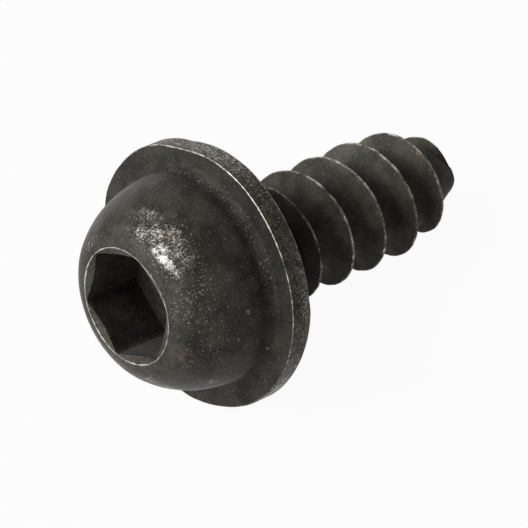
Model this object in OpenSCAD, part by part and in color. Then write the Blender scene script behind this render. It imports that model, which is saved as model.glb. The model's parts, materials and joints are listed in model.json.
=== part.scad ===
// Thread-forming screw for plastics, lying on its side.
// One cold-headed, thread-rolled piece of blackened steel: a domed head with a hexagon socket,
// an integral flange, a short neck and a coarse right-hand thread that tapers to a blunt tip.
// Units are millimetres. The floor is z = 0 and the tip points along +X.

/* [Thread] */
// Diameter over the thread crests
crest_d = 5.04; // [4.6:0.02:5.3]
// Diameter of the core between the crests
core_d = 3.24; // [2.9:0.02:3.5]
// Advance of the thread in one turn
pitch = 1.78; // [1.6:0.01:2]
// Width of the flat along each crest
crest_flat = 0.1; // [0.06:0.01:0.16]
// Angle of each flank from a plane square to the axis
flank_angle = 17; // [12:1:22]
// Radius of the hollow where each flank meets the core
root_radius = 0.3; // [0.15:0.05:0.35]

/* [Shank] */
// Length from the bearing face to the tip
shank_length = 12.35; // [9:0.05:16]
// Length at the tip over which the crests run down
taper_length = 3.8; // [2:0.05:4]
// Drop of the crest radius at the tip
taper_drop = 1.16; // [0.8:0.02:1.4]
// Length at the tip over which the core narrows
core_taper = 2.2; // [1:0.1:3]
// Drop of the core radius at the tip
core_drop = 0.65; // [0.2:0.05:0.8]
// Rounding of the core at the tip
tip_round = 0.15; // [0.05:0.05:0.3]
// Gap between the core and the edge of the neck around it
neck_step = 0.18; // [0.1:0.02:0.3]
// Turn of the thread about the axis, seen from the lying side
thread_roll = 210.2; // [0:0.1:360]

/* [Head] */
// Diameter of the dome
dome_d = 8.57; // [8:0.01:9.2]
// Height from the bearing face to the top of the head
head_height = 4.63; // [4.2:0.01:4.9]
// Rounding from the dome into the top face
top_round = 1.6; // [1:0.1:2]
// Height of the widest part of the dome above the flange
dome_lift = 0.4; // [0.2:0.05:0.6]
// Hollow radius between the dome and the flange
dome_fillet = 0.45; // [0.25:0.05:0.55]

/* [Flange] */
// Diameter of the flange
flange_d = 10.8; // [10.4:0.1:12]
// Thickness of the flange
flange_thickness = 0.96; // [0.7:0.02:1.4]
// Rounding of the flange edge on the dome side
front_round = 0.12; // [0.04:0.02:0.16]
// Rounding of the flange edge on the thread side
back_round = 0.12; // [0.06:0.02:0.3]
// Clearance of the bearing face round the crests
bearing_gap = 0.03; // [0.02:0.01:0.15]
// Depth of the worn spot on which the flange rests
rest_flat = 0.06; // [0.01:0.01:0.1]

/* [Socket] */
// Width across the flats of the hexagon
hex_flats = 4; // [3:0.1:4.4]
// Depth of the hexagon walls below the top of the head
hex_depth = 2.6; // [1.6:0.1:3]
// Width of the ring from the hexagon corners out to the rim of the socket
rim_margin = 0.06; // [0.02:0.01:0.12]
// Slope of that ring from a plane square to the axis
mouth_angle = 8; // [4:1:20]
// Depth of the conical floor below the hexagon walls
floor_cone = 0.4; // [0.2:0.05:0.6]
// Turn of the hexagon about the axis, seen from the lying side
hex_roll = 56.6; // [0:0.1:60]

/* [Hidden] */
steel = [0.27, 0.265, 0.245];
steps = 48;
$fn = 96;
crest_r = crest_d / 2;
core_r = core_d / 2;
flange_r = flange_d / 2;
dome_r = dome_d / 2;

// Half width of the thread ridge at its foot, and the shape of its hollow root
tooth = crest_r - core_r;
flank_run = tooth * tan(flank_angle);
root_tangent = root_radius * tan((90 - flank_angle) / 2);
root_mid = (90 - flank_angle) / 2;
ridge_half = crest_flat / 2 + flank_run + root_tangent;

// Neck, thread start and thread end along the axis
neck_r = core_r + neck_step;
neck_fillet = crest_r + bearing_gap - neck_r;
neck_land = 0.05;
skin_gap = 0.02;
thread_low = neck_fillet + neck_land;
thread_start = thread_low + ridge_half + skin_gap;
thread_high = shank_length - tip_round;
columns = floor((thread_high - 2 * skin_gap - thread_start) / pitch * steps);
levels = 9;
start_turns = 0.4;
end_turns = 0.24;
taper_power = 1.8;
core_power = 2;
tip_r = core_at(thread_high);

// Dome and socket
dome_z = -flange_thickness - dome_lift;
top_z = -head_height;
round_z = top_z + top_round;
round_x = sqrt(pow(dome_r - top_round, 2) - pow(dome_z - round_z, 2));
fillet_z = -flange_thickness - dome_fillet;
fillet_x = sqrt(pow(dome_r + dome_fillet, 2) - pow(fillet_z - dome_z, 2));
hex_r = hex_flats / 2 / cos(30);
rim_r = hex_r + rim_margin;
mouth_lap = 0.1;
rim_z = round_z - sqrt(pow(top_round, 2) - pow(max(0, rim_r - round_x), 2));

// Resting pose on the flange edge and on the lowest crest near the tip
low_turns = [for (k = [1:30]) if (k * 360 > thread_roll + 180
    && k * 360 < thread_roll + 360 * columns / steps) (k * 360 - thread_roll) / 360 * steps];
tilt = min([for (i = low_turns) rest_tilt(crest_at(i), axial(i) + crest_flat / 2)]);
rest_z = (flange_r - back_round) * cos(tilt) + back_round * (1 - sin(tilt)) - rest_flat;
far_x = shank_length * cos(tilt) + (tip_r - tip_round) * sin(tilt);
near_x = round_z * cos(tilt) - round_x * sin(tilt) - top_round;

// Angle at which the flange edge and a crest of radius r at z both touch the floor
function rest_tilt(r, z) = let (a = flange_r - back_round - r, b = z + back_round)
    acos((rest_flat - back_round) / norm([a, b])) - atan2(b, a);

// Axial place, crest radius and core radius along the thread
function axial(i) = thread_start + pitch * i / steps;
function ease(u) = let (v = min(1, max(0, u))) v * v * (3 - 2 * v);
function run_down(z, length) = max(0, z - shank_length + length) / length;
function tapered(z) = crest_r - taper_drop * pow(run_down(z, taper_length), taper_power);
function core_at(z) = core_r - core_drop * pow(run_down(z, core_taper), core_power);
function crest_at(i) = let (core = core_at(axial(i))) core + max(0, tapered(axial(i)) - core)
    * ease(i / steps / start_turns) * ease((columns - i) / steps / end_turns);

// Section of the ridge as distance from the crest centre and share of the tooth height
function section(j) = let (
    k = j > 4 ? 9 - j : j,
    run = k == 1 ? ridge_half
        : k == 2 ? ridge_half - root_radius * sin(root_mid)
        : k == 3 ? crest_flat / 2 + flank_run - root_tangent * sin(flank_angle)
        : crest_flat / 2,
    rise = k == 1 ? 0
        : k == 2 ? root_radius * (1 - cos(root_mid)) / tooth
        : k == 3 ? root_tangent * cos(flank_angle) / tooth
        : 1)
    [j > 4 ? run : -run, rise];

// Points of one column, from the lower root up to the upper foot of the ridge
function ridge_point(i, j) = let (
    a = thread_roll + 360 * i / steps,
    z = axial(i),
    s = section(j),
    squeeze = min(1, (thread_high - z) / (ridge_half + skin_gap)),
    low = i < steps ? thread_low : z - pitch / 2,
    h = j == 0 ? low : z + (j > 4 ? s[0] * squeeze : s[0]),
    core = core_at(h),
    r = j == 0 ? core : core + max(0, crest_at(i) - core) * s[1])
    [r * cos(a), r * sin(a), h];

function ring_point(i, r, z) = let (a = thread_roll + 360 * i / steps) [r * cos(a), r * sin(a), z];

// Core, neck and thread as one closed skin that follows the helix
module shank() {
    body = [for (i = [0:columns]) for (j = [0:levels - 1]) ridge_point(i, j)];
    first_high = columns - steps + 1;
    high = [for (i = [first_high:columns]) ring_point(i, tip_r, thread_high)];
    arch = [for (i = [first_high:columns])
        ring_point(i, tip_r - tip_round * 0.3, thread_high + tip_round * 0.7)];
    face = [for (i = [first_high:columns]) ring_point(i, tip_r - tip_round, shank_length)];
    foot = [for (i = [0:steps - 1]) ring_point(i, core_r, -flange_thickness)];
    b = len(body);
    function at(i, j) = j < levels ? i * levels + j
        : i < first_high ? (i + steps) * levels : b + i - first_high;
    strip = [for (i = [0:columns - 1]) for (j = [0:levels - 1]) each [
        [at(i, j), at(i, j + 1), at(i + 1, j + 1)],
        [at(i, j), at(i + 1, j + 1), at(i + 1, j)]]];
    low_seam = [for (j = [0:levels - 1]) [at(steps - 1, 0), at(0, j + 1), at(0, j)]];
    high_seam = [for (j = [0:levels - 1]) [at(columns, j), at(columns, j + 1), b]];
    rings = [for (k = [0:1]) for (i = [0:steps - 1]) let (
        p = b + k * steps + i,
        q = b + k * steps + (i + 1) % steps)
        each [[p, p + steps, q + steps], [p, q + steps, q]]];
    f = b + 3 * steps;
    skirt = [for (i = [0:steps - 1]) let (n = (i + 1) % steps)
        each [[f + i, at(i, 0), at(n, 0)], [f + i, at(n, 0), f + n]]];
    low_cap = [[for (i = [0:steps - 1]) f + i]];
    high_cap = [[for (i = [0:steps - 1]) b + 3 * steps - 1 - i]];
    polyhedron(concat(body, high, arch, face, foot),
        concat(strip, low_seam, high_seam, rings, skirt, low_cap, high_cap), convexity = 10);
}

// Half section of the flange with both edges rounded
module flange_section() {
    difference() {
        translate([0, -flange_thickness]) square([flange_r, flange_thickness]);
        translate([flange_r - front_round, -flange_thickness]) square(front_round);
        translate([flange_r - back_round, -back_round]) square(back_round);
    }
    translate([flange_r - front_round, -flange_thickness + front_round]) circle(front_round);
    translate([flange_r - back_round, -back_round]) circle(back_round);
}

// Half section of the dome: a ball, cut flat at the top with a rounded shoulder
module dome_section() {
    tangent_x = round_x * dome_r / (dome_r - top_round);
    tangent_z = dome_z + (round_z - dome_z) * dome_r / (dome_r - top_round);
    intersection() {
        translate([0, dome_z]) circle(dome_r);
        polygon([[0, dome_z], [tangent_x * 1.2, dome_z + (tangent_z - dome_z) * 1.2],
            [dome_r + 2, dome_z], [dome_r + 2, -flange_thickness / 2], [0, -flange_thickness / 2]]);
    }
    translate([round_x, round_z]) circle(top_round);
    polygon([[0, dome_z], [0, top_z], [round_x, top_z], [round_x, round_z]]);
    // Hollow between the dome and the flange
    difference() {
        translate([0, fillet_z]) square([fillet_x, dome_fillet + flange_thickness / 2]);
        translate([fillet_x, fillet_z]) circle(dome_fillet);
    }
}

// Half section of the neck, with a hollow fillet from the bearing face down to the core
module neck_section() {
    difference() {
        translate([0, -flange_thickness / 2])
            square([neck_r + neck_fillet, neck_fillet + flange_thickness / 2]);
        translate([neck_r + neck_fillet, neck_fillet]) circle(neck_fillet);
    }
}

// Head with flange and neck, turned round the axis
module head() {
    rotate_extrude() intersection() {
        union() {
            flange_section();
            dome_section();
            neck_section();
        }
        translate([0, -head_height - 1]) square([flange_r + 1, head_height + 1 + neck_fillet]);
    }
}

// Hexagon socket with a shallow ring round its mouth and a conical floor
module socket() {
    inner_r = hex_flats / 2 - mouth_lap;
    inner_z = rim_z + (rim_r - inner_r) * tan(mouth_angle);
    outer_r = rim_r + mouth_lap;
    outer_z = rim_z - mouth_lap * tan(mouth_angle);
    translate([0, 0, top_z - 1]) rotate(hex_roll) cylinder(h = hex_depth + 1, r = hex_r, $fn = 6);
    rotate_extrude() polygon([[0, top_z - 1], [outer_r, top_z - 1], [outer_r, outer_z],
        [inner_r, inner_z], [0, inner_z]]);
    translate([0, 0, top_z + hex_depth - mouth_lap])
        cylinder(h = floor_cone + mouth_lap, r1 = hex_flats * 0.42, r2 = hex_flats * 0.06);
}

// Lays what it is given on the floor, with the tip along +X
module lie_down() {
    translate([-(far_x + near_x) / 2, 0, rest_z]) rotate([0, 90 + tilt, 0]) children();
}

// The whole screw, with the spot on the flange that lies flat on the floor
module screw() {
    color(steel) {
        difference() {
            lie_down() difference() {
                head();
                socket();
            }
            translate([-flange_d, -flange_d, -flange_d]) cube([2 * flange_d, 2 * flange_d, flange_d]);
        }
        lie_down() shank();
    }
}

screw();
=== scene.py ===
"""Dresses the blackened thread-forming screw: a fine scuffed skin, its finish, the light and the camera."""
import json
import math

import bmesh
import bpy
import numpy as np
from mathutils import Matrix, Vector, noise


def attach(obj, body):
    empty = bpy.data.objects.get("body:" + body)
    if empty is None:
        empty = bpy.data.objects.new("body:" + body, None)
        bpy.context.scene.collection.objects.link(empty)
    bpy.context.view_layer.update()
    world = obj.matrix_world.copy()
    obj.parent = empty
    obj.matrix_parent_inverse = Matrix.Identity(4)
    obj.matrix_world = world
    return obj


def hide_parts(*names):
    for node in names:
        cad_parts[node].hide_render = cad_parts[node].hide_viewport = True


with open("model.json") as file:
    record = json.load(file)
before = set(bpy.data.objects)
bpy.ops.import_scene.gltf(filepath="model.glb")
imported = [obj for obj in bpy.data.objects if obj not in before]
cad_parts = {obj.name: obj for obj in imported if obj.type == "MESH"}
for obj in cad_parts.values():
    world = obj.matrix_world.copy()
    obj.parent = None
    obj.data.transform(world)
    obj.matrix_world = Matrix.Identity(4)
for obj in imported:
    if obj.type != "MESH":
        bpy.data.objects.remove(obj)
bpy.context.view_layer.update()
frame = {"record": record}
MM = 0.001

# Thread and shank, in millimetres along the axis from the bearing face, angles in degrees
CREST_R = 2.52
CORE_R = 1.62
PITCH = 1.78
CREST_FLAT = 0.1
CREST_ROUND = 0.03
CREST_TUCK = 0.6
FLANK_ANGLE = 17
ROOT_RADIUS = 0.4
SHANK_LENGTH = 12.35
TAPER_LENGTH = 3.8
TAPER_DROP = 1.16
TAPER_POWER = 1.8
CORE_TAPER = 2.2
CORE_DROP = 0.65
TIP_ROUND = 0.15
TIP_HOLLOW = 0.02
NECK_R = 1.8
NECK_FILLET = 0.75
THREAD_LOW = 0.8
THREAD_HIGH = SHANK_LENGTH - TIP_ROUND
THREAD_START = 1.367
THREAD_ROLL = 210.2
THREAD_TURNS = 6.0625
START_TURNS = 0.4
END_TURNS = 0.24
SQUEEZE_GAP = 0.02
LEVEL_GAP = 0.004

# Steps of the thread's mesh: per turn, in the root, up the flank, round the crest and round the tip
THREAD_STEPS = 144
COLUMNS = int(round(THREAD_TURNS * THREAD_STEPS))
ROOT_POINTS = 8
FLANK_SHARES = (0.3, 0.6, 0.82, 0.94, 1.0)
CREST_BENDS = (35, 65, 90)
TIP_BENDS = (0, 30, 60, 90)

# Head, flange and socket, in millimetres, angles in degrees
DOME_R = 4.285
HEAD_HEIGHT = 4.63
TOP_ROUND = 1.6
DOME_LIFT = 0.4
DOME_FILLET = 0.45
FLANGE_R = 5.4
FLANGE_THICKNESS = 0.96
FRONT_ROUND = 0.05
BACK_ROUND = 0.16
EDGE_STRIP = 0.04
HEX_FLATS = 4.1
HEX_CORNER = 0.05
HEX_DEPTH = 2.6
HEX_ROLL = 56.6
HEX_EDGE = 0.03
RIM_R = 2.369
RIM_STRIP = 3
RIM_FLAT_TURN = -168
RIM_FLAT_REACH = 24
RIM_FLAT_DEPTH = 0.06
RIM_FLAT_FADE = 0.4
MOUTH_ANGLE = 24
CONE_LIP = 0.03
CONE_DEPTH = 0.4
CONE_R = 1.39
CONE_TIP_R = 0.24

# Mesh of the screw: steps round the head, gap over the floor in millimetres, sharpest smooth edge in degrees
HEAD_STEPS = 336
FLOOR_GAP = 0.002
SMOOTH_ANGLE = 38

# Middles of the dome and of its top rounding, and the height of the socket's rim
DOME_Z = -FLANGE_THICKNESS - DOME_LIFT
ROUND_Z = -HEAD_HEIGHT + TOP_ROUND
ROUND_X = math.sqrt((DOME_R - TOP_ROUND) ** 2 - (DOME_Z - ROUND_Z) ** 2)
RIM_Z = ROUND_Z - math.sqrt(TOP_ROUND ** 2 - (RIM_R - ROUND_X) ** 2)

# Small waves of the surfaces: height and length in millimetres, seed
HEAD_WAVES = ((0.006, 1.6, 1), (0.003, 0.5, 2))
EDGE_WAVES = ((0.012, 0.7, 3),)
SOCKET_WAVES = ((0.004, 0.4, 4),)
CREST_WAVES = ((0.014, 0.5, 5), (0.012, 0.2, 6))
CREST_SWAYS = ((0.02, 0.7, 7), (0.012, 0.25, 8))
TIP_WAVES = ((0.012, 0.5, 9),)
# Share of the head's waves that is left at the socket's rim, and the shift of the noise for each seed
RIM_CALM = 0.4
SEED_SHIFT = (17.3, 5.1, 9.7)

# Dents of the flange: turn in degrees, height, reach, depth
DENTS = (
    (-117, -0.15, 0.4, 0.045),
    (-62, -0.9, 0.3, 0.03),
    (84, -0.85, 0.35, 0.04),
    (150, -0.1, 0.3, 0.035),
    (20, -0.2, 0.4, 0.04),
)
# Radius at which the dents begin, and the width over which they come in
DENT_START = 4.9
DENT_FADE = 0.3
# Flange out of round at its front and back edges: turn in degrees, reach in degrees, depth
FRONT_RIM = (
    (-12, 14, -0.1),
    (-45, 15, 0.02),
    (95, 16, -0.045),
    (153, 14, 0.15),
    (-168, 14, -0.045),
)
BACK_RIM = (
    (-78, 18, 0.05),
    (-111, 11, -0.06),
    (151, 15, 0.1),
    (-174, 12, -0.055),
)
# Radius at which that begins, and the width over which it comes in
OUT_OF_ROUND_START = 4.8
OUT_OF_ROUND_FADE = 0.4
# Uneven lip of the tip: turn in degrees, reach in degrees, how far it stands out
TIP_LIP = (
    (-156, 12, -0.16),
    (-106, 16, 0.05),
    (-40, 30, -0.05),
    (60, 25, 0.04),
)
# Share of the lip on each ring of the tip, and how much it spreads sideways
LIP_SHARES = (0.5, 0.8, 1, 1)
LIP_SPREAD = 0.5
# Uneven crest: degrees along the helix, reach in degrees, how far it stands out
CREST_SWELLS = (
    (1980, 55, 0.1),
    (1620, 60, 0.03),
    (1800, 50, -0.03),
)

# Worn spots on the head: turn in degrees, height, width round the axis, width along it, strength
BRIGHT_SPOTS = (
    (-172, -4.29, 0.28, 0.1, 0.85),
    (-164, -4.25, 0.36, 0.14, 1.1),
    (-158, -4.21, 0.36, 0.15, 1.1),
    (-150, -4.18, 0.36, 0.14, 0.7),
    (-38, -4.2, 0.5, 0.3, 0.4),
    (-40, -3.6, 0.4, 0.6, 0.46),
    (-42, -2.7, 0.4, 0.5, 0.46),
    (-63, -2.9, 0.4, 0.3, 0.42),
    (112, -4.42, 0.5, 0.15, 0.4),
    (-168, -4.12, 0.6, 0.22, 0.72),
    (179, -3.95, 0.55, 0.3, 0.66),
    (170, -4.15, 0.42, 0.24, 0.6),
    (165, -3.6, 0.6, 0.35, 0.5),
    (-172, -3.6, 0.75, 0.38, 0.55),
    (-158, -3.8, 0.7, 0.4, 0.5),
    (-128, -4.1, 0.9, 0.45, 0.24),
    (-116, -3.7, 0.8, 0.5, 0.19),
    (-138, -3.6, 0.8, 0.5, 0.24),
    (-98, -3.6, 0.9, 0.5, 0.15),
    (-114, -2.17, 0.09, 0.08, 1.0),
    (-99, -2.53, 0.08, 0.05, 1.0),
    (-88, -1.1, 0.08, 0.06, 0.9),
)
# The same on the flange's side and on the crests
SIDE_SPOTS = (
    (165, -0.4, 3.4, 0.8, 0.56),
    (-60, -0.5, 3.4, 0.8, 0.55),
    (-115, -0.25, 2.5, 0.35, 0.45),
)
CREST_SPOTS = (
    (-169, 10.2, 0.24, 0.17, 0.8),
    (-150, 10.3, 0.5, 0.2, 0.4),
    (-175, 8.4, 0.2, 0.12, 0.6),
    (-150, 8.5, 0.15, 0.1, 0.55),
    (-165, 6.6, 0.15, 0.1, 0.5),
    (-130, 6.75, 0.15, 0.1, 0.45),
    (170, 4.75, 0.2, 0.1, 0.5),
    (-100, 8.8, 0.15, 0.1, 0.5),
)
# Brown spots on head and thread, and rusty dirt in the socket, as above
BROWN_SPOTS = (
    (-84, -4.22, 0.42, 0.26, 0.8),
    (-150, 11.7, 1.2, 0.5, 0.5),
    (-163, 10.25, 1.0, 0.4, 1.0),
    (-140, 8.55, 1.0, 0.25, 0.6),
    (-140, 6.75, 1.0, 0.25, 0.5),
    (178, -3.6, 1.3, 0.45, 0.4),
    (-155, -3.75, 0.9, 0.4, 0.35),
)
SOCKET_SPOTS = (
    (-45, -3.9, 0.7, 0.4, 0.9),
    (-15, -3.6, 0.6, 0.4, 0.5),
    (40, -3.2, 0.7, 0.6, 0.4),
)
# Bright lengths of the flange's bared front edge, painted highlight where the strength is above zero and
# painted shade where below: turn in degrees, reach in degrees, strength
EDGE_LENGTHS = (
    (-154, 17, 0.5),
    (178, 14, 0.22),
    (-124, 12, 0.15),
    (-100, 14, 0.1),
    (100, 20, -0.2),
    (150, 18, 0.28),
    (-45, 30, -0.12),
)

# Marks that the finish reads at each point of the mesh
# One of the marks darkens recesses, creases and shaded sides: painted shade, with some grime
MARKS = ("edge", "cave", "worn", "brown", "side", "dull")
# Marks of the head: strengths, places and reaches, in millimetres or in degrees round the axis
RIM_EDGE = 0.95
RIM_EDGE_REACH = 0.03
RIM_ROW = 0.02
RIM_GAIN = 0.9
FLANGE_GAIN = 0.58
FRONT_EDGE_REACH = 0.027
BACK_EDGE = 0.8
BACK_EDGE_REACH = 0.08
# Painted shade: the hollow between dome and flange, the neck, the bearing face and the flange's front face
# are darkened, the front face most on one side
HOLLOW_SHADE = 0.55
HOLLOW_REACH = 0.3
SHADE_OF = {"neck": 1.0, "bearing": 0.3, "front": 0.26}
SIDE_OF = {"side": 1.0, "back_edge": 1.0, "front_edge": 0.5}
SHADED_TURN = -146
SHADED_REACH = 36
SHADED_GAIN = 1.2
# Painted highlight in the hollow between dome and flange, laid as bare steel: the side of the head it lies
# on, then its ring
HIGHLIGHT_TURN = -170
HIGHLIGHT_REACH = 75
HIGHLIGHT_FADE = 40
RING_R = 4.37
RING_Z = -1.15
RING_REACH = 0.13
RING_STRENGTH = 0.24
# Middles of the marks on roundings, as shares of the rounding's radius from its centre
FRONT_MIDDLE = (0.75, -0.7)
BACK_MIDDLE = (0.7, 0.7)
HOLLOW_MIDDLE = (-0.75, 0.65)
# Marks of the socket: strengths, and reaches as shares of the sloped ring
MOUTH_EDGE = 0.5
MOUTH_EDGE_REACH = 0.2
HEX_MOUTH_EDGE = 0.2
HEX_MOUTH_REACH = 0.25
# Painted shade in the socket, with some grime: its mouth, walls and cone are darkened, the walls more towards
# the floor
MOUTH_SHADE = 0.05
WALL_SHADE = 0.15
WALL_SHADE_RISE = 1.6
CONE_SHADE = 0.2
SOCKET_SIDE = 0.25
# Bends round the hexagon's edge in degrees, each with its edge mark
HEX_EDGE_BENDS = ((30, 0.25), (60, 0.1), (90, 0.1))
# The most shaded wall of the socket, darkened with painted shade: strength, turn and reach in degrees
SHADED_WALL = 0.85
SHADED_WALL_TURN = HEX_ROLL - 90
SHADED_WALL_REACH = 28
# Marks of the thread: strengths, shares of the ridge's height, and millimetres
CREST_EDGE = 0.55
CREST_EDGE_FLAT = 0.03
CREST_EDGE_REACH = 0.055
CREST_LEVEL = 0.95
# Painted shade: the valleys between the crests are darkened, with some grime, and the first turns lie in a
# painted shadow of the flange
VALLEY_SHADE = 0.5
VALLEY_LEVEL = 0.12
VALLEY_FADE = 0.26
NECK_SHADE = 0.46
NECK_SHADE_HEIGHT = 5.2
NECK_SHADE_FADE = 2.5
WORN_FROM = 0.45
WORN_FADE = 0.5
TIP_EDGE = 0.15

# Colours, linear
OXIDE_DARK = (0.0258, 0.0246, 0.0199, 1)
OXIDE_LIGHT = (0.048, 0.0455, 0.0375, 1)
BROWN = (0.13, 0.1, 0.075, 1)
# Near-black of the painted shade, with some grime
SHADE_AND_SOOT = (0.013, 0.0135, 0.014, 1)
STEEL = (0.7, 0.665, 0.61, 1)
WHITE = (1, 1, 1, 1)
FLOOR_GREY = (0.9, 0.9, 0.9, 1)

# Noise of the finish: size in millimetres, detail, roughness
BROAD = (1.1, 3, 0.55)
CLOUD = (0.35, 3, 0.6)
FINE = (0.07, 2, 0.6)
DUST = (0.08, 3, 0.62)
CLUMP = (0.3, 2, 0.55)
SCRATCH = (0.05, 1, 0.5)
SCRATCH_STRETCH = (1, 0.06, 0.3)
SCRATCH_TURN = (20, 35, 10)
# Specks: spacing and size in millimetres, share of the cells that hold one; share of a speck that is full
SPECKS = (0.6, 0.035, 0.1)
SPECK_CORE = 0.4
# Ramps over noise and marks: where each begins and where it is full
BROAD_RAMP = (0.36, 0.64)
CLUMP_RAMP = (0.38, 0.62)
RUST_RAMP = (0.42, 0.6)
RUBBED_RAMP = (0.57, 1.0)
EDGE_RAMP = (0.3, 1.05)
MOTTLED_RAMP = (0.54, 0.72)
SCRATCH_RAMP = (0.74, 0.8)
# Scalings of noise and marks: factor, shift
CLOUD_TONE = (0.7, -0.35)
CALM_THREAD = (-0.6, 1.0)
GRIT = (0.8, 0.85)
# Painted light: the thread's oxide is made lighter than the head's
PAINTED_THREAD_LIGHT = (1.4, 1.0)
CLUMP_WEAR = (0.4, 0.6)
BROKEN_CLOUD = (1.1, -0.55)
BROKEN_DUST = (0.8, -0.4)
CAVE_COVER = (-0.75, 1.0)
SATIN_HEAD = (-0.3, 0.3)
SATIN_CAVE = (-0.9, 1.0)
ROUGHNESS = (0.25, 0.36)
# Strengths in the finish, and the depth of its bump in millimetres
SIDE_RUST = 0.45
# Share of that near-black where the painted shade lies
SHADE_AND_SOOT_COVER = 0.85
WEAR = 0.42
MOTTLED = 0.36
SPECK_BARE = 0.4
SCRATCH_BARE = 0.15
BARE_METAL = 0.85
SHEEN = 0.28
SHEEN_ROUGHNESS = 0.35
SPECULAR_LEVEL = 0.03
FINE_BUMP = 0.5
BUMP_STRENGTH = 0.35
BUMP_DEPTH = 0.012

# Lights: name, direction, distance and size in metres, power in watts
LIGHTS = (
    ("key", (-0.64, 0.46, 0.62), 0.3, 0.22, 0.75),
    ("front", (-1.0, -0.12, 0.03), 0.3, 0.2, 0.5),
    ("side", (-0.75, 0.65, 0.12), 0.3, 0.15, 0.15),
)
# Fill from the world, share of white in the floor that the camera sees, half the floor's width in metres
WORLD_FILL = 0.07
FLOOR_SHINE = 0.95
FLOOR_HALF = 2

# View of the photograph, in degrees and millimetres, and the clipping distances in metres
VIEW_AZIMUTH = -41.128
VIEW_ELEVATION = 51.637
VIEW_DISTANCE = 170.0
VIEW_AIM = (-1.742, -0.943, 4.796)
VIEW_LENS = 298.0
SENSOR = 36.0
CLIP_NEAR = 0.01
CLIP_FAR = 20


class Skin:
    """Collects the points, faces and marks of one mesh."""

    def __init__(self):
        self.points = []
        self.faces = []
        self.marks = {name: [] for name in MARKS}
        self.count = 0

    def add(self, points, **marks):
        """Adds a grid of points with its marks and returns their numbers in the same grid."""
        shape = points.shape[:-1]
        size = int(np.prod(shape))
        numbers = np.arange(self.count, self.count + size).reshape(shape)
        self.points.append(points.reshape(-1, 3))
        for name in MARKS:
            self.marks[name].append(np.broadcast_to(marks.get(name, 0.0), shape).reshape(-1))
        self.count += size
        return numbers

    def rows(self, numbers):
        """Joins neighbouring rows that each run once round the axis."""
        near, far = numbers[:-1], numbers[1:]
        quads = np.stack([near, np.roll(near, -1, 1), np.roll(far, -1, 1), far], -1)
        self.faces.extend(quads.reshape(-1, 4).tolist())

    def fan(self, ring, height, **marks):
        """Closes a ring with a point on the axis at the given height."""
        middle = int(self.add(np.array([[0.0, 0.0, height]]), **marks)[0])
        self.faces.extend([int(p), int(q), middle] for p, q in zip(ring, np.roll(ring, -1)))

    def zip_rings(self, near, near_turns, far, far_turns):
        """Joins two rings that have different numbers of points."""
        near = near[np.argsort(near_turns % 360)].tolist()
        far = far[np.argsort(far_turns % 360)].tolist()
        near_turns = np.sort(near_turns % 360)
        far_turns = np.sort(far_turns % 360)
        a = b = 0
        while a < len(near) or b < len(far):
            next_a = near_turns[a] if a < len(near) else math.inf
            next_b = far_turns[b] if b < len(far) else math.inf
            if next_a <= next_b:
                self.faces.append([near[a - 1], near[a], far[b - 1]])
                a += 1
            else:
                self.faces.append([near[a - 1], far[b], far[b - 1]])
                b += 1


def arc(x, z, radius, start, end, steps):
    """Points of an arc in the half section; 0 degrees points at the head's top and 90 outward."""
    a = np.radians(np.linspace(start, end, steps + 1))
    return np.stack([x + radius * np.sin(a), z - radius * np.cos(a)], 1)


def line(start, end, steps):
    """Evenly spaced points of a straight stretch of the half section."""
    return np.linspace(start, end, steps + 1)


def shares(steps):
    """Even shares up to 1, without 0."""
    return np.linspace(0, 1, steps + 1)[1:]


def ease(u):
    """0 below 0, 1 above 1, smooth between."""
    v = np.clip(u, 0, 1)
    return v * v * (3 - 2 * v)


def bell(distance, reach):
    """1 at no distance, falling smoothly to almost 0 at twice the reach."""
    return np.exp(-np.square(distance / reach))


def turn_between(a, b):
    """The smaller turn between two angles in degrees."""
    return np.abs((a - b + 180) % 360 - 180)


def polar(points):
    """Turn in degrees and distance from the axis of each point."""
    x, y = points[..., 0], points[..., 1]
    return np.degrees(np.arctan2(y, x)), np.hypot(x, y)


def swell(turns, rows):
    """Sum of smooth swells round the axis, each given by its turn, reach and height."""
    return sum(height * bell(turn_between(turns, middle), reach) for middle, reach, height in rows)


def spots(points, rows):
    """The strength of a list of spots at each point."""
    turn, radius = polar(points)
    total = np.zeros(points.shape[:-1])
    for spot_turn, height, across, along, strength in rows:
        sideways = np.radians(turn_between(turn, spot_turn)) * radius / across
        lengthways = (points[..., 2] - height) / along
        total = np.maximum(total, strength * np.exp(-(sideways * sideways + lengthways * lengthways)))
    return total


def ripple(points, size, seed):
    """Smooth noise between about -1 and 1 at each point, with features of the given size."""
    offset = Vector([seed * shift for shift in SEED_SHIFT])
    flat = points.reshape(-1, 3) / size
    values = [noise.noise(Vector(p) + offset) for p in flat.tolist()]
    return np.array(values).reshape(points.shape[:-1])


def waves(points, rows):
    """Sum of small waves at each point, each given by its height, length and seed."""
    return sum(height * ripple(points, length, seed) for height, length, seed in rows)


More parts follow.
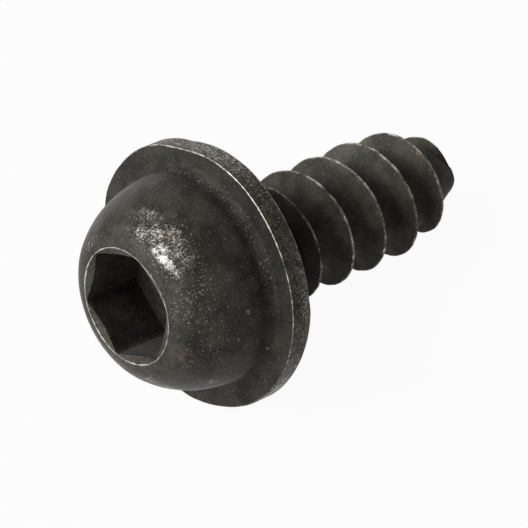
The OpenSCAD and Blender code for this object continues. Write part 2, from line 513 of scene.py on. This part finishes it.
def head_section():
    """Half section of the head from the socket's rim to the neck, with each point's kind and marks."""
    fillet_z = -FLANGE_THICKNESS - DOME_FILLET
    fillet_x = math.sqrt((DOME_R + DOME_FILLET) ** 2 - (fillet_z - DOME_Z) ** 2)
    rim_turn = math.degrees(math.asin((RIM_R - ROUND_X) / TOP_ROUND))
    shoulder = math.degrees(math.atan2(ROUND_X, DOME_Z - ROUND_Z))
    waist = math.degrees(math.atan2(fillet_x, DOME_Z - fillet_z))
    front_x = FLANGE_R - FRONT_ROUND
    front_z = -FLANGE_THICKNESS + FRONT_ROUND
    back_x = FLANGE_R - BACK_ROUND
    neck_x = NECK_R + NECK_FILLET
    face = -FLANGE_THICKNESS
    parts = [
        ("rim", arc(ROUND_X, ROUND_Z, TOP_ROUND, rim_turn, rim_turn + RIM_STRIP, 4)),
        ("dome", arc(ROUND_X, ROUND_Z, TOP_ROUND, rim_turn + RIM_STRIP, shoulder, 13)),
        ("dome", arc(0, DOME_Z, DOME_R, shoulder, waist, 34)),
        ("hollow", arc(fillet_x, fillet_z, DOME_FILLET, 180 + waist, 180, 12)),
        ("front", line((fillet_x, face), (front_x - EDGE_STRIP, face), 6)),
        ("front", line((front_x - EDGE_STRIP, face), (front_x, face), 2)),
        ("front_edge", arc(front_x, front_z, FRONT_ROUND, 0, 90, 6)),
        ("side", line((FLANGE_R, front_z), (FLANGE_R, front_z + EDGE_STRIP), 2)),
        ("side", line((FLANGE_R, front_z + EDGE_STRIP), (FLANGE_R, -BACK_ROUND), 8)),
        ("back_edge", arc(back_x, -BACK_ROUND, BACK_ROUND, 90, 180, 8)),
        ("bearing", line((back_x, 0), (neck_x, 0), 14)),
        ("neck", arc(neck_x, NECK_FILLET, NECK_FILLET, 0, -90, 10)),
    ]
    last = parts[-1][1][-1:]
    section = np.concatenate([points[:-1] for _, points in parts] + [last])
    kinds = np.concatenate([[kind] * (len(points) - 1) for kind, points in parts] + [["neck"]])

    def near(centre, radius, middle, reach):
        """How near each point of the section is to the middle of a mark on a rounding."""
        return bell(np.linalg.norm(section - centre - radius * np.array(middle), axis=1), reach)

    edge = RIM_EDGE * bell(np.arange(len(section)) * RIM_ROW, RIM_EDGE_REACH) * (kinds == "rim")
    edge = np.maximum(edge, near((front_x, front_z), FRONT_ROUND, FRONT_MIDDLE, FRONT_EDGE_REACH))
    edge = np.maximum(edge, BACK_EDGE * near((back_x, -BACK_ROUND), BACK_ROUND, BACK_MIDDLE, BACK_EDGE_REACH))
    cave = HOLLOW_SHADE * near((fillet_x, fillet_z), DOME_FILLET, HOLLOW_MIDDLE, HOLLOW_REACH)
    cave = np.maximum(cave, [SHADE_OF.get(kind, 0.0) for kind in kinds])
    side = np.array([SIDE_OF.get(kind, 0.0) for kind in kinds])
    return section, kinds, edge, cave, side


def outward(section):
    """Directions square to a half section, away from the metal."""
    step = np.gradient(section, axis=0)
    step /= np.linalg.norm(step, axis=1)[:, None]
    return np.stack([step[:, 1], -step[:, 0]], 1)


def revolve(section, turns):
    """Grid of points with one row for each point of the section."""
    a = np.radians(turns)
    x = section[:, :1] * np.cos(a)
    y = section[:, :1] * np.sin(a)
    return np.stack([x, y, np.broadcast_to(section[:, 1:], x.shape)], -1)


def dent(points):
    """Depth of the small dents at each point of the head."""
    turn, radius = polar(points)
    depth = np.zeros(points.shape[:-1])
    for dent_turn, height, reach, deep in DENTS:
        across = np.radians(turn_between(turn, dent_turn)) * radius
        depth += deep * bell(np.hypot(across, points[..., 2] - height), reach)
    return depth * ease((radius - DENT_START) / DENT_FADE)


def rim_flat(turns):
    """How far the socket's rim is pressed inward on one side."""
    return RIM_FLAT_DEPTH * bell(turn_between(turns, RIM_FLAT_TURN), RIM_FLAT_REACH)


def out_of_round(turns, section):
    """How far the flange's rim stands in from a true circle, for each point of the section and each turn."""
    back_share = np.clip(1 + section[:, 1:] / FLANGE_THICKNESS, 0, 1)
    depth = (1 - back_share) * swell(turns, FRONT_RIM) + back_share * swell(turns, BACK_RIM)
    return depth * ease((section[:, :1] - OUT_OF_ROUND_START) / OUT_OF_ROUND_FADE)


def hollow_highlight(points):
    """A faint painted highlight: a ring of bare steel in the hollow between dome and flange, on the lit side
    of the head.
    """
    turn, radius = polar(points)
    ring = bell(np.hypot(radius - RING_R, points[..., 2] - RING_Z), RING_REACH)
    return RING_STRENGTH * ring * ease((HIGHLIGHT_REACH - turn_between(turn, HIGHLIGHT_TURN)) / HIGHLIGHT_FADE)


def build_head(skin):
    """Adds the head, the flange and the neck, and returns the rim ring, the neck ring and their turns."""
    turns = HEX_ROLL + 360 * np.arange(HEAD_STEPS) / HEAD_STEPS
    section, kinds, edge, cave, side = head_section()
    flange = (side > 0)[:, None]
    points = revolve(section, turns)
    normals = revolve(outward(section), turns)
    lift = waves(points, HEAD_WAVES) * np.where(kinds == "rim", RIM_CALM, 1.0)[:, None]
    lift += waves(points, EDGE_WAVES) * edge[:, None] * flange
    points = points + normals * lift[..., None]
    inward = dent(points) + out_of_round(turns, section)
    inward += rim_flat(turns) * ease((RIM_R + RIM_FLAT_FADE - section[:, :1]) / RIM_FLAT_FADE)
    radius = np.hypot(points[..., 0], points[..., 1])
    points[..., :2] *= (1 - inward / radius)[..., None]
    # Strength of the front edge round the head, with painted highlight and shade along it
    gain = FLANGE_GAIN + swell(turns, EDGE_LENGTHS)
    shaded = SHADED_GAIN * bell(turn_between(turns, SHADED_TURN), SHADED_REACH) * (kinds == "front")[:, None]
    numbers = skin.add(
        points,
        edge=edge[:, None] * np.where(flange, gain, RIM_GAIN),
        cave=cave[:, None] * (1 + shaded),
        side=np.broadcast_to(side[:, None], radius.shape),
        # This mark holds the scuffed spots and also the painted highlight ring of the hollow
        worn=spots(points, BRIGHT_SPOTS) + flange * spots(points, SIDE_SPOTS) + hollow_highlight(points),
        brown=spots(points, BROWN_SPOTS),
    )
    skin.rows(numbers)
    return numbers[0], numbers[-1], turns


def socket_rows(rim_r, hexagon):
    """Rows of the socket from its rim to its floor, each with its radius, height, edge mark and painted
    shade, with some grime.
    """
    slope = math.tan(math.radians(MOUTH_ANGLE))
    bottom = -HEAD_HEIGHT + HEX_DEPTH
    mouth = hexagon + HEX_EDGE
    mouth_z = RIM_Z + (rim_r - mouth) * slope
    wall_z = mouth_z + HEX_EDGE
    rows = []
    for share in shares(6):
        r = rim_r + (mouth - rim_r) * share
        edge = MOUTH_EDGE * bell(share, MOUTH_EDGE_REACH) + HEX_MOUTH_EDGE * bell(1 - share, HEX_MOUTH_REACH)
        rows.append((r, RIM_Z + (rim_r - r) * slope, edge, MOUTH_SHADE))
    for bend, edge in HEX_EDGE_BENDS:
        a = math.radians(bend)
        rows.append((mouth - HEX_EDGE * math.sin(a), mouth_z + HEX_EDGE * (1 - math.cos(a)), edge, WALL_SHADE))
    for share in shares(14):
        soot_and_shade = WALL_SHADE * ease(share * WALL_SHADE_RISE)
        rows.append((hexagon, wall_z + (bottom - wall_z) * share, 0.0, soot_and_shade))
    for share in shares(4):
        rows.append((hexagon + (CONE_R - hexagon) * share, bottom + CONE_LIP * share, 0.0, CONE_SHADE))
    for share in shares(7):
        height = bottom + CONE_LIP + (CONE_DEPTH - CONE_LIP) * share
        rows.append((CONE_R + (CONE_TIP_R - CONE_R) * share, height, 0.0, CONE_SHADE))
    return rows


def build_socket(skin, rim, turns):
    """Adds the hexagon socket below the rim ring."""
    rim_r = RIM_R - rim_flat(turns)
    from_flat = np.radians((turns - HEX_ROLL) % 60 - 30)
    hexagon = np.minimum(HEX_FLATS / 2 / np.cos(from_flat), rim_r - HEX_CORNER)
    rows = socket_rows(rim_r, hexagon)
    radii, heights, edges, soot_and_shade = (np.array([np.broadcast_to(v, turns.shape) for v in values])
                                   for values in zip(*rows))
    a = np.radians(turns)
    points = np.stack([radii * np.cos(a), radii * np.sin(a), heights], -1)
    points[..., 2] += waves(points, SOCKET_WAVES)
    # Painted shade on one wall of the socket
    wall_shade = SHADED_WALL * bell(turn_between(turns, SHADED_WALL_TURN), SHADED_WALL_REACH)
    numbers = skin.add(points, edge=edges, cave=soot_and_shade + wall_shade * (radii <= hexagon), side=SOCKET_SIDE,
                       brown=spots(points, SOCKET_SPOTS))
    skin.rows(np.concatenate([rim[None], numbers]))
    skin.fan(numbers[-1], -HEAD_HEIGHT + HEX_DEPTH + CONE_DEPTH, cave=CONE_SHADE)


def ridge_section():
    """Section of one thread ridge, as distance from its middle and share of its height; its half width."""
    tooth = CREST_R - CORE_R
    lean = math.radians(FLANK_ANGLE)
    run = tooth * math.tan(lean)
    tangent = ROOT_RADIUS * math.tan((math.pi / 2 - lean) / 2)
    half = CREST_FLAT / 2 + run + tangent
    distance, share = [], []
    for a in np.linspace(0, math.pi / 2 - lean, ROOT_POINTS):
        distance.append(half - ROOT_RADIUS * math.sin(a))
        share.append(ROOT_RADIUS * (1 - math.cos(a)) / tooth)
    top = 1 - CREST_ROUND / tooth
    first = share[-1]
    for flank_share in FLANK_SHARES:
        level = first + (top - first) * flank_share
        share.append(level)
        distance.append(CREST_FLAT / 2 + (1 - level) * run)
    for a in np.radians(CREST_BENDS):
        distance.append(CREST_FLAT / 2 - CREST_ROUND * CREST_TUCK * math.sin(a))
        share.append(top + (1 - top) * math.sin(a))
    distance = np.array(distance)
    share = np.array(share)
    low = np.stack([-distance, share], 1)
    high = np.stack([distance[::-1], share[::-1]], 1)
    return np.concatenate([low, [[0.0, 1.0]], high]), half


def core_at(height):
    """Radius of the core at a height, running down at the tip."""
    return CORE_R - CORE_DROP * (np.maximum(0, height - SHANK_LENGTH + CORE_TAPER) / CORE_TAPER) ** 2


def crest_at(height):
    """Radius over the crests at a height, running down at the tip."""
    share = np.maximum(0, height - SHANK_LENGTH + TAPER_LENGTH) / TAPER_LENGTH
    return CREST_R - TAPER_DROP * share ** TAPER_POWER


def thread_path():
    """For each column along the helix: turn, height, fade at the ends, crest radius and sideways sway."""
    step = np.arange(COLUMNS + 1)
    turns = THREAD_ROLL + 360 * step / THREAD_STEPS
    heights = THREAD_START + PITCH * step / THREAD_STEPS
    ends = ease(step / THREAD_STEPS / START_TURNS) * ease((COLUMNS - step) / THREAD_STEPS / END_TURNS)
    a = np.radians(turns)
    path = np.stack([CREST_R * np.cos(a), CREST_R * np.sin(a), heights], 1)
    wave = waves(path, CREST_WAVES)
    for middle, reach, height in CREST_SWELLS:
        wave = wave + height * bell(turns - middle, reach)
    core = core_at(heights)
    crest = core + (np.maximum(0, crest_at(heights) - core) + wave) * ends
    return turns, heights, ends, crest, waves(path, CREST_SWAYS) * ends


def thread_grid(section, half, middles, sway):
    """Height and share of the ridge's rise, for each column of the helix and each level of the section."""
    offset, rise = section[:, 0], section[:, 1]
    shape = (len(middles), len(section) + 2)
    heights = np.zeros(shape)
    rises = np.zeros(shape)
    rises[:, 1:-1] = rise
    squeeze = np.minimum(1, (THREAD_HIGH - middles) / (half + SQUEEZE_GAP))[:, None]
    heights[:, 1:-1] = middles[:, None] + np.where(offset > 0, offset * squeeze, offset)
    heights[:, 1:-1] += sway[:, None] * rise
    first_turn = np.arange(len(middles)) < THREAD_STEPS
    heights[:, 0] = np.where(first_turn, THREAD_LOW, middles - PITCH / 2)
    lowest = THREAD_LOW + LEVEL_GAP * np.arange(shape[1])
    heights = np.where(first_turn[:, None], np.maximum(heights, lowest), heights)
    heights[:, -1] = (heights[:, -2] + np.minimum(middles + PITCH / 2, THREAD_HIGH)) / 2
    return heights, rises


def build_thread(skin):
    """Adds the points of core and thread and returns their numbers and the turn of each column."""
    section, half = ridge_section()
    turns, middles, ends, crest, sway = thread_path()
    heights, rises = thread_grid(section, half, middles, sway)
    base = core_at(heights)
    radius = base + np.maximum(0, crest[:, None] - base) * rises
    a = np.radians(turns)[:, None]
    points = np.stack([radius * np.cos(a), radius * np.sin(a), heights], -1)
    fade = ends[:, None]
    off_crest = np.pad(np.abs(section[:, 0]), 1, constant_values=PITCH)
    edge = CREST_EDGE * bell(np.maximum(0, off_crest - CREST_EDGE_FLAT), CREST_EDGE_REACH)
    # Painted shade in the valleys and painted shadow of the flange on the first turns
    soot_and_shade = VALLEY_SHADE * (1 - ease((rises * fade - VALLEY_LEVEL) / VALLEY_FADE))
    soot_and_shade += NECK_SHADE * ease((NECK_SHADE_HEIGHT - heights) / NECK_SHADE_FADE)
    numbers = skin.add(
        points,
        edge=edge * (rises > CREST_LEVEL) * fade,
        cave=np.clip(soot_and_shade, 0, 1),
        brown=spots(points, BROWN_SPOTS),
        worn=spots(points, CREST_SPOTS) * ease((rises - WORN_FROM) / WORN_FADE),
        dull=1.0,
    )
    return numbers, turns


def build_tip(skin, turns):
    """Adds the rounded, uneven end of the core and returns the numbers of its first ring."""
    a = np.radians(turns)
    core = float(core_at(THREAD_HIGH))
    rings = []
    for bend in np.radians(TIP_BENDS):
        r = core - TIP_ROUND * (1 - math.cos(bend))
        height = THREAD_HIGH + TIP_ROUND * math.sin(bend)
        rings.append(np.stack([r * np.cos(a), r * np.sin(a), np.full(len(turns), height)], -1))
    points = np.array(rings)
    lip = swell(turns, TIP_LIP)
    points[..., 2] += waves(points, TIP_WAVES) + lip * np.array(LIP_SHARES)[:, None]
    points[..., :2] *= (1 + lip * LIP_SPREAD)[:, None]
    numbers = skin.add(points, edge=TIP_EDGE, brown=spots(points, BROWN_SPOTS), dull=1.0)
    skin.rows(numbers)
    skin.fan(numbers[-1], SHANK_LENGTH - TIP_HOLLOW, dull=1.0)
    return numbers[0]


def build_shank(skin, neck, neck_turns):
    """Adds core and thread as one skin that follows the helix, from the neck to the tip."""
    numbers, turns = build_thread(skin)
    tip = build_tip(skin, turns[-THREAD_STEPS:])
    above = np.concatenate([numbers[THREAD_STEPS:, 0], tip])
    grid = np.concatenate([numbers, above[:, None]], 1)
    quads = np.stack([grid[:-1, :-1], grid[:-1, 1:], grid[1:, 1:], grid[1:, :-1]], -1)
    skin.faces.extend(quads.reshape(-1, 4).tolist())
    low = int(numbers[THREAD_STEPS - 1, 0])
    skin.faces.extend([low, int(q), int(p)] for p, q in zip(grid[0, :-1], grid[0, 1:]))
    high = int(tip[0])
    skin.faces.extend([int(p), int(q), high] for p, q in zip(grid[-1, :-1], grid[-1, 1:]))
    skin.zip_rings(neck, neck_turns, numbers[:THREAD_STEPS, 0], turns[:THREAD_STEPS])


def lie_down(points):
    """Puts points of the upright screw, in millimetres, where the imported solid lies, in metres."""
    mount = next(m for m in frame["record"]["mounts"] if m["name"] == "bearing_face")
    along = Vector(mount["axis"]).normalized()
    seat = np.array([mount["pos_m"][0], 0.0, mount["pos_m"][2]])
    down = Vector((along.z, 0.0, -along.x))
    turned = points[:, :1] * np.array(down) + points[:, 2:] * np.array(along)
    turned[:, 1] += points[:, 1]
    return seat + turned * MM


def build_screw():
    """Makes the screw's mesh object with its marks."""
    skin = Skin()
    rim, neck, turns = build_head(skin)
    build_socket(skin, rim, turns)
    build_shank(skin, neck, turns)
    mesh = bpy.data.meshes.new("screw_dressed")
    points = lie_down(np.concatenate(skin.points))
    points[:, 2] = np.maximum(points[:, 2], FLOOR_GAP * MM)
    mesh.from_pydata(points.tolist(), [], skin.faces)
    for name in MARKS:
        values = np.concatenate(skin.marks[name]).astype(np.float32)
        layer = mesh.attributes.new(name, "FLOAT", "POINT")
        layer.data.foreach_set("value", values)
    work = bmesh.new()
    work.from_mesh(mesh)
    bmesh.ops.recalc_face_normals(work, faces=work.faces)
    work.to_mesh(mesh)
    work.free()
    mesh.shade_smooth()
    mesh.set_sharp_from_angle(angle=math.radians(SMOOTH_ANGLE))
    screw = bpy.data.objects.new("screw_dressed", mesh)
    bpy.context.collection.objects.link(screw)
    return screw


class Finish:
    """Builds a material's node tree with short calls."""

    def __init__(self, name):
        self.material = bpy.data.materials.new(name)
        self.material.use_nodes = True
        self.tree = self.material.node_tree
        self.tree.nodes.clear()
        self.place = self.node("ShaderNodeTexCoord").outputs["Object"]

    def node(self, kind, **settings):
        """Adds a node with its settings."""
        made = self.tree.nodes.new(kind)
        for key, value in settings.items():
            setattr(made, key, value)
        return made

    def feed(self, socket, value):
        """Links a socket to another, or sets its value."""
        if isinstance(value, bpy.types.NodeSocket):
            self.tree.links.new(value, socket)
        else:
            socket.default_value = value

    def math(self, operation, a, b, clamp=False):
        """One step of arithmetic on two values."""
        made = self.node("ShaderNodeMath", operation=operation, use_clamp=clamp)
        self.feed(made.inputs[0], a)
        self.feed(made.inputs[1], b)
        return made.outputs[0]

    def scaled(self, value, factor, shift):
        """The value times a factor, plus a shift."""
        made = self.node("ShaderNodeMath", operation="MULTIPLY_ADD")
        self.feed(made.inputs[0], value)
        made.inputs[1].default_value = factor
        made.inputs[2].default_value = shift
        return made.outputs[0]

    def ramp(self, value, low, high):
        """0 below low, 1 above high, smooth between."""
        made = self.node("ShaderNodeMapRange", interpolation_type="SMOOTHSTEP")
        self.feed(made.inputs["Value"], value)
        self.feed(made.inputs["From Min"], low)
        self.feed(made.inputs["From Max"], high)
        return made.outputs["Result"]

    def mix(self, factor, a, b):
        """Colour a where the factor is 0 and colour b where it is 1."""
        made = self.node("ShaderNodeMix", data_type="RGBA")
        self.feed(made.inputs[0], factor)
        self.feed(made.inputs[6], a)
        self.feed(made.inputs[7], b)
        return made.outputs[2]

    def grain(self, size, detail, roughness, stretch=None, turn=None):
        """Noise with features of the given size in millimetres, which can be stretched and turned."""
        place = self.place
        if stretch:
            mapping = self.node("ShaderNodeMapping")
            self.feed(mapping.inputs["Vector"], place)
            mapping.inputs["Rotation"].default_value = [math.radians(v) for v in turn]
            mapping.inputs["Scale"].default_value = stretch
            place = mapping.outputs[0]
        made = self.node("ShaderNodeTexNoise")
        self.feed(made.inputs["Vector"], place)
        made.inputs["Scale"].default_value = 1 / (size * MM)
        made.inputs["Detail"].default_value = detail
        made.inputs["Roughness"].default_value = roughness
        return made.outputs[0]

    def specks(self, spacing, size, share):
        """Small dots, in a share of cells of the given spacing, in millimetres."""
        made = self.node("ShaderNodeTexVoronoi")
        self.feed(made.inputs["Vector"], self.place)
        made.inputs["Scale"].default_value = 1 / (spacing * MM)
        near = self.ramp(made.outputs["Distance"], size / spacing, size / spacing * SPECK_CORE)
        pick = self.node("ShaderNodeSeparateColor")
        self.feed(pick.inputs[0], made.outputs["Color"])
        return self.math("MULTIPLY", near, self.math("LESS_THAN", pick.outputs[0], share))

    def mark(self, name):
        """One of the marks that the mesh carries."""
        return self.node("ShaderNodeAttribute", attribute_name=name).outputs["Fac"]


def oxide_colour(f, marks, cloud, fine):
    """Cloudy dark oxide, brown in places, made lighter on the thread as painted light, and darkened in the
    caves and shaded places with painted shade and some grime.
    """
    oxide = f.mix(f.ramp(f.grain(*BROAD), *BROAD_RAMP), OXIDE_DARK, OXIDE_LIGHT)
    calm = f.math("MULTIPLY", f.scaled(cloud, *CLOUD_TONE), f.scaled(marks["dull"], *CALM_THREAD))
    grit = f.math("MULTIPLY", f.scaled(fine, *GRIT), f.math("ADD", calm, 1.0))
    tone = f.node("ShaderNodeVectorMath", operation="SCALE")
    f.feed(tone.inputs[0], oxide)
    # The thread's oxide is scaled lighter: painted light
    f.feed(tone.inputs["Scale"], f.math("MULTIPLY", grit, f.scaled(marks["dull"], *PAINTED_THREAD_LIGHT)))
    dirt = f.math("ADD", marks["brown"], f.math("MULTIPLY", marks["side"], SIDE_RUST))
    rust = f.math("MULTIPLY", dirt, f.ramp(cloud, *RUST_RAMP), clamp=True)
    colour = f.mix(rust, tone.outputs[0], BROWN)
    # Painted shade, with some grime, darkens the recesses and shaded sides
    return f.mix(f.math("MULTIPLY", marks["cave"], SHADE_AND_SOOT_COVER), colour, SHADE_AND_SOOT)


def bare_share(f, marks, cloud):
    """Where the oxide is bared to steel: scuffed spots, broken edges, mottled sides, specks and scratches,
    with painted highlights in the hollow and along the front edge.
    """
    dust = f.grain(*DUST)
    clump = f.ramp(f.grain(*CLUMP), *CLUMP_RAMP)
    wear_and_highlight_share = f.math("MULTIPLY", marks["worn"], f.scaled(clump, *CLUMP_WEAR))
    rubbed_and_highlight = f.ramp(f.math("ADD", dust, f.math("MULTIPLY", wear_and_highlight_share, WEAR)), *RUBBED_RAMP)
    broken = f.math("ADD", f.scaled(cloud, *BROKEN_CLOUD), f.scaled(dust, *BROKEN_DUST))
    bare_and_highlight_edge = f.ramp(f.math("ADD", marks["edge"], broken), *EDGE_RAMP)
    mottled = f.math("MULTIPLY", f.ramp(dust, *MOTTLED_RAMP), f.math("MULTIPLY", marks["side"], MOTTLED))
    dots = f.math("MULTIPLY", f.specks(*SPECKS), f.math("SUBTRACT", 1.0, marks["cave"], clamp=True))
    scratch = f.ramp(f.grain(*SCRATCH, SCRATCH_STRETCH, SCRATCH_TURN), *SCRATCH_RAMP)
    bare = f.math("MAXIMUM", rubbed_and_highlight, bare_and_highlight_edge)
    bare = f.math("MAXIMUM", bare, mottled)
    bare = f.math("MAXIMUM", bare, f.math("MULTIPLY", dots, SPECK_BARE))
    bare = f.math("MAXIMUM", bare, f.math("MULTIPLY", scratch, SCRATCH_BARE))
    return f.math("MULTIPLY", bare, f.scaled(marks["cave"], *CAVE_COVER), clamp=True)


def blackened_steel():
    """Dark oxide, bared through to steel on edges and scuffed spots, brown in places, with painted highlights
    on some edges and in the hollow, and painted shade with some grime in places.
    """
    f = Finish("blackened_steel_worn")
    marks = {name: f.mark(name) for name in MARKS}
    cloud = f.grain(*CLOUD)
    fine = f.grain(*FINE)
    bare = bare_share(f, marks, cloud)
    open_share = f.scaled(marks["cave"], *SATIN_CAVE)
    satin = f.math("MULTIPLY", f.scaled(marks["dull"], *SATIN_HEAD), open_share, clamp=True)
    shader = f.node("ShaderNodeBsdfPrincipled")
    f.feed(shader.inputs["Base Color"], f.mix(bare, oxide_colour(f, marks, cloud, fine), STEEL))
    f.feed(shader.inputs["Metallic"], f.math("MAXIMUM", f.math("MULTIPLY", bare, BARE_METAL), satin))
    f.feed(shader.inputs["Roughness"], f.scaled(cloud, *ROUGHNESS))
    shader.inputs["Sheen Weight"].default_value = SHEEN
    shader.inputs["Sheen Roughness"].default_value = SHEEN_ROUGHNESS
    shader.inputs["Specular IOR Level"].default_value = SPECULAR_LEVEL
    bump = f.node("ShaderNodeBump")
    bump.inputs["Strength"].default_value = BUMP_STRENGTH
    bump.inputs["Distance"].default_value = BUMP_DEPTH * MM
    f.feed(bump.inputs["Height"], f.math("ADD", f.math("MULTIPLY", fine, FINE_BUMP), cloud))
    f.feed(shader.inputs["Normal"], bump.outputs[0])
    out = f.node("ShaderNodeOutputMaterial")
    f.feed(out.inputs[0], shader.outputs[0])
    return f.material


def seen_rays(tree):
    """1 for camera, glossy and transmission rays, which see the plain white backdrop."""
    path = tree.nodes.new("ShaderNodeLightPath")
    total = path.outputs["Is Camera Ray"]
    for name in ("Is Glossy Ray", "Is Transmission Ray"):
        either = tree.nodes.new("ShaderNodeMath")
        either.operation = "MAXIMUM"
        tree.links.new(total, either.inputs[0])
        tree.links.new(path.outputs[name], either.inputs[1])
        total = either.outputs[0]
    return total


def pale_floor():
    """Pale grey for the light, and almost white for the rays that see it."""
    material = bpy.data.materials.new("pale_floor")
    material.use_nodes = True
    tree = material.node_tree
    tree.nodes.clear()
    diffuse = tree.nodes.new("ShaderNodeBsdfDiffuse")
    diffuse.inputs[0].default_value = FLOOR_GREY
    glow = tree.nodes.new("ShaderNodeEmission")
    glow.inputs[0].default_value = WHITE
    share = tree.nodes.new("ShaderNodeMath")
    share.operation = "MULTIPLY"
    tree.links.new(seen_rays(tree), share.inputs[0])
    share.inputs[1].default_value = FLOOR_SHINE
    blend = tree.nodes.new("ShaderNodeMixShader")
    tree.links.new(share.outputs[0], blend.inputs[0])
    tree.links.new(diffuse.outputs[0], blend.inputs[1])
    tree.links.new(glow.outputs[0], blend.inputs[2])
    out = tree.nodes.new("ShaderNodeOutputMaterial")
    tree.links.new(blend.outputs[0], out.inputs[0])
    return material


def build_floor():
    """A pale floor that the camera sees as white, with a soft shadow kept."""
    corners = [(x * FLOOR_HALF, y * FLOOR_HALF, 0) for x, y in ((-1, -1), (1, -1), (1, 1), (-1, 1))]
    mesh = bpy.data.meshes.new("floor")
    mesh.from_pydata(corners, [], [(0, 1, 2, 3)])
    mesh.materials.append(pale_floor())
    floor = bpy.data.objects.new("floor", mesh)
    bpy.context.collection.objects.link(floor)


def build_world():
    """White to the eye, and a plain soft fill for everything else."""
    world = bpy.data.worlds.new("studio")
    world.use_nodes = True
    tree = world.node_tree
    background = tree.nodes["Background"]
    background.inputs[0].default_value = WHITE
    strength = tree.nodes.new("ShaderNodeMapRange")
    tree.links.new(seen_rays(tree), strength.inputs["Value"])
    strength.inputs["To Min"].default_value = WORLD_FILL
    strength.inputs["To Max"].default_value = 1.0
    tree.links.new(strength.outputs[0], background.inputs[1])
    bpy.context.scene.world = world


def add_light(name, direction, distance, size, power):
    """A square soft light that faces the screw from the given direction."""
    lamp = bpy.data.lights.new(name, "AREA")
    lamp.size = size
    lamp.energy = power
    light = bpy.data.objects.new(name, lamp)
    way = Vector(direction).normalized()
    light.location = way * distance
    light.rotation_euler = way.to_track_quat("Z", "Y").to_euler()
    bpy.context.collection.objects.link(light)


def add_camera():
    """The camera at the photograph's viewing angle."""
    azimuth = math.radians(VIEW_AZIMUTH)
    elevation = math.radians(VIEW_ELEVATION)
    level = math.cos(elevation)
    back = Vector((math.sin(azimuth) * level, -math.cos(azimuth) * level, math.sin(elevation)))
    lens = bpy.data.cameras.new("camera")
    lens.lens = VIEW_LENS
    lens.sensor_width = SENSOR
    lens.clip_start = CLIP_NEAR
    lens.clip_end = CLIP_FAR
    camera = bpy.data.objects.new("camera", lens)
    eye = Vector(VIEW_AIM) * MM + back * VIEW_DISTANCE * MM
    camera.matrix_world = Matrix.LocRotScale(eye, back.to_track_quat("Z", "Y"), None)
    bpy.context.collection.objects.link(camera)
    bpy.context.scene.camera = camera


screw = build_screw()
screw.data.materials.append(blackened_steel())
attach(screw, "root")
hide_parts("screw")
build_floor()
build_world()
for light_row in LIGHTS:
    add_light(*light_row)
add_camera()
bpy.context.scene.view_settings.view_transform = "Standard"
